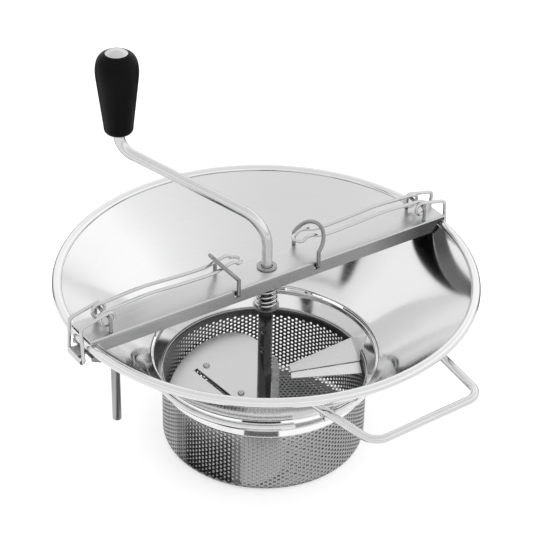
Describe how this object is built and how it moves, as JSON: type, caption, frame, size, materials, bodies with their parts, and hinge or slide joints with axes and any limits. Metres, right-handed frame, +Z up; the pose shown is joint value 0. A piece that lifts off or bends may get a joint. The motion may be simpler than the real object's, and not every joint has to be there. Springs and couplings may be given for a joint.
{
  "type": "food mill",
  "caption": "Hand-cranked conical steel food mill with a perforated sieve cup, sprung crank and blade on a clamped bridge, side handle and hanging legs.",
  "frame": {"origin": "centre of the sieve cup's flat bottom", "axes": "+Z up along the crank shaft; +X along the bridge towards its right-hand clamp; the side handle is near -Y"},
  "size_m": [0.3198, 0.3433, 0.2978],
  "materials": {
    "polished_steel": "mirror-polished stainless steel",
    "brushed_steel": "satin stainless sheet",
    "plain_steel": "plain steel",
    "grip_plastic": "black, soft gloss"
  },
  "bodies": {
    "bowl_body": {"bowl": "polished_steel", "rim_wire": "plain_steel", "bridge": "brushed_steel", "shaft_bush": "plain_steel", "pressure_spring": "polished_steel", "left_staple": "polished_steel", "right_staple": "polished_steel", "left_rim_lug": "polished_steel", "right_rim_lug": "polished_steel", "side_handle": "polished_steel", "support_leg_1": "polished_steel", "support_leg_2": "polished_steel"},
    "sieve": {"sieve_basket": "polished_steel", "sieve_ring": "polished_steel", "baffle_plate": "polished_steel"},
    "shaft_seat": {"spring_seat": "plain_steel"},
    "crank": {"crank_rod": "polished_steel", "shaft_sleeve": "polished_steel", "blade_plate": "polished_steel", "blade_stiffener": "polished_steel", "blade_rivet_1": "polished_steel", "blade_rivet_2": "polished_steel", "blade_gusset": "polished_steel"},
    "crank_grip": {"grip": "grip_plastic", "grip_cap": "polished_steel"},
    "right_clamp": {"right_clamp_wire": "polished_steel"},
    "right_roller": {"right_clamp_roller": "polished_steel"},
    "right_loop": {"right_keeper_loop": "polished_steel"},
    "left_clamp": {"left_clamp_wire": "polished_steel"},
    "left_roller": {"left_clamp_roller": "polished_steel"},
    "left_loop": {"left_keeper_loop": "polished_steel"}
  },
  "joints": [
    {"name": "sieve_twist", "type": "hinge", "parent": "bowl_body", "child": "sieve", "pos_m": [0, 0, 0.07], "axis": [0, 0, 1], "range_deg": [-20, 0]},
    {"name": "shaft_lift", "type": "slide", "parent": "bowl_body", "child": "shaft_seat", "axis": [0, 0, 1], "range_m": [0, 0.003], "stiffness_N_per_m": 800, "springref_m": -0.005, "deforming": ["pressure_spring"]},
    {"name": "crank_turn", "type": "hinge", "parent": "shaft_seat", "child": "crank", "pos_m": [0, 0, 0.1], "axis": [0, 0, 1], "continuous": true},
    {"name": "grip_spin", "type": "hinge", "parent": "crank", "child": "crank_grip", "pos_m": [-0.06515, 0.09658, 0.26], "axis": [0, 0, 1], "continuous": true},
    {"name": "right_clamp_lift", "type": "hinge", "parent": "bowl_body", "child": "right_clamp", "pos_m": [0.1355, 0, 0.1582], "axis": [0, 1, 0], "range_deg": [0, 1.4]},
    {"name": "right_roller_spin", "type": "hinge", "parent": "right_clamp", "child": "right_roller", "pos_m": [0.1572, 0, 0.129], "axis": [0, 1, 0], "continuous": true},
    {"name": "right_loop_swing", "type": "hinge", "parent": "bowl_body", "child": "right_loop", "pos_m": [0.0345, 0, 0.1429], "axis": [0, -1, 0], "range_deg": [0, 85]},
    {"name": "left_clamp_lift", "type": "hinge", "parent": "bowl_body", "child": "left_clamp", "pos_m": [-0.1355, 0, 0.1582], "axis": [0, -1, 0], "range_deg": [0, 1.4]},
    {"name": "left_roller_spin", "type": "hinge", "parent": "left_clamp", "child": "left_roller", "pos_m": [-0.1572, 0, 0.129], "axis": [0, 1, 0], "continuous": true},
    {"name": "left_loop_swing", "type": "hinge", "parent": "bowl_body", "child": "left_loop", "pos_m": [-0.0345, 0, 0.1429], "axis": [0, 1, 0], "range_deg": [0, 85]}
  ]
}
